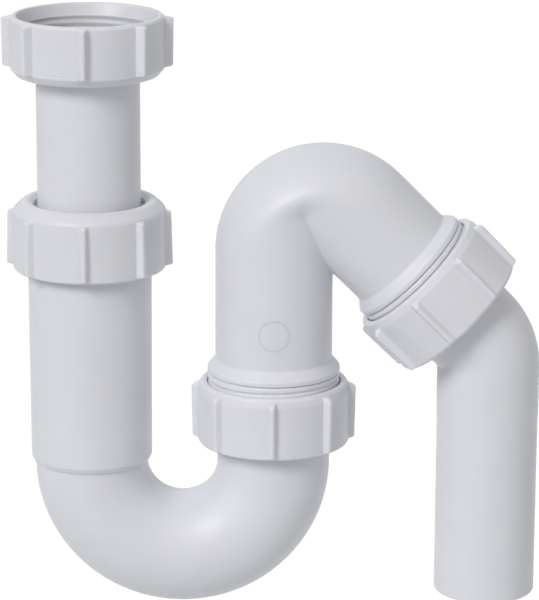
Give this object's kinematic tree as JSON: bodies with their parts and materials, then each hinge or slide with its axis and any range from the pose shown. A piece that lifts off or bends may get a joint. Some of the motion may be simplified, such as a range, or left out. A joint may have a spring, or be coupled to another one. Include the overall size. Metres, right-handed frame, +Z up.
{
  "type": "sink trap",
  "caption": "Tubular swivel S-trap for a sink waste, with a telescopic inlet, ribbed union nuts, a deep U-bend and a tight S-bend that swivels.",
  "frame": {"origin": "centre of the inlet union's seal seat, on the inlet axis: the top face of the inlet washer", "axes": "+Z up along the inlet axis, out of the inlet nut's mouth; +X from the inlet towards the outlet; +Y away from the viewer in the picture"},
  "size_m": [0.1689, 0.0532, 0.1903],
  "materials": {
    "pipe_plastic": "white polypropylene, smooth, low gloss",
    "nut_plastic": "white polypropylene, smooth, low gloss",
    "ring_plastic": "natural polyethylene, waxy",
    "seal_rubber": "black rubber, matte"
  },
  "bodies": {
    "inlet_nut": {"inlet_nut": "nut_plastic"},
    "inlet_tube": {"inlet_tube": "pipe_plastic", "inlet_washer": "seal_rubber"},
    "trap_body": {"inlet_leg": "pipe_plastic", "u_bend_left": "pipe_plastic", "u_bend_right": "pipe_plastic", "telescopic_seal": "seal_rubber"},
    "slip_ring": {"slip_ring": "ring_plastic"},
    "telescopic_nut": {"telescopic_nut": "nut_plastic"},
    "swivel_nut": {"swivel_nut": "nut_plastic"},
    "s_bend": {"s_bend_riser": "pipe_plastic", "s_bend_turn": "pipe_plastic", "s_bend_arm": "pipe_plastic", "swivel_washer": "seal_rubber"},
    "outlet_bend": {"outlet_bend": "pipe_plastic", "outlet_washer": "seal_rubber"},
    "outlet_nut": {"outlet_nut": "nut_plastic"}
  },
  "joints": [
    {"name": "inlet_swivel", "type": "hinge", "parent": "inlet_nut", "child": "inlet_tube", "pos_m": [0, 0, 0], "axis": [0, 0, 1], "continuous": true},
    {"name": "height_adjust", "type": "slide", "parent": "inlet_tube", "child": "trap_body", "axis": [0, 0, 1], "range_m": [-0.02, 0.028]},
    {"name": "slip_ring_lift", "type": "slide", "parent": "trap_body", "child": "slip_ring", "axis": [0, 0, 1], "range_m": [0, 0.00924]},
    {"name": "telescopic_nut_turn", "type": "hinge", "parent": "slip_ring", "child": "telescopic_nut", "pos_m": [0, 0, -0.0478], "axis": [0, 0, 1], "range_deg": [0, 1440]},
    {"name": "swivel_nut_turn", "type": "hinge", "parent": "trap_body", "child": "swivel_nut", "pos_m": [0.058, 0, -0.1262], "axis": [0, 0, 1], "continuous": true},
    {"name": "s_bend_swivel", "type": "hinge", "parent": "trap_body", "child": "s_bend", "pos_m": [0.058, 0, -0.1177], "axis": [0, 0, 1], "range_deg": [-120, 120]},
    {"name": "outlet_swivel", "type": "hinge", "parent": "s_bend", "child": "outlet_bend", "pos_m": [0.1131, 0, -0.08193], "axis": [0.7071, 0, -0.7071], "continuous": true},
    {"name": "outlet_nut_turn", "type": "hinge", "parent": "s_bend", "child": "outlet_nut", "pos_m": [0.1131, 0, -0.08193], "axis": [0.7071, 0, -0.7071], "continuous": true}
  ],
  "couplings": [
    {"joint": "slip_ring_lift", "follows": "telescopic_nut_turn", "m_per_rad": 0.00036749}
  ]
}
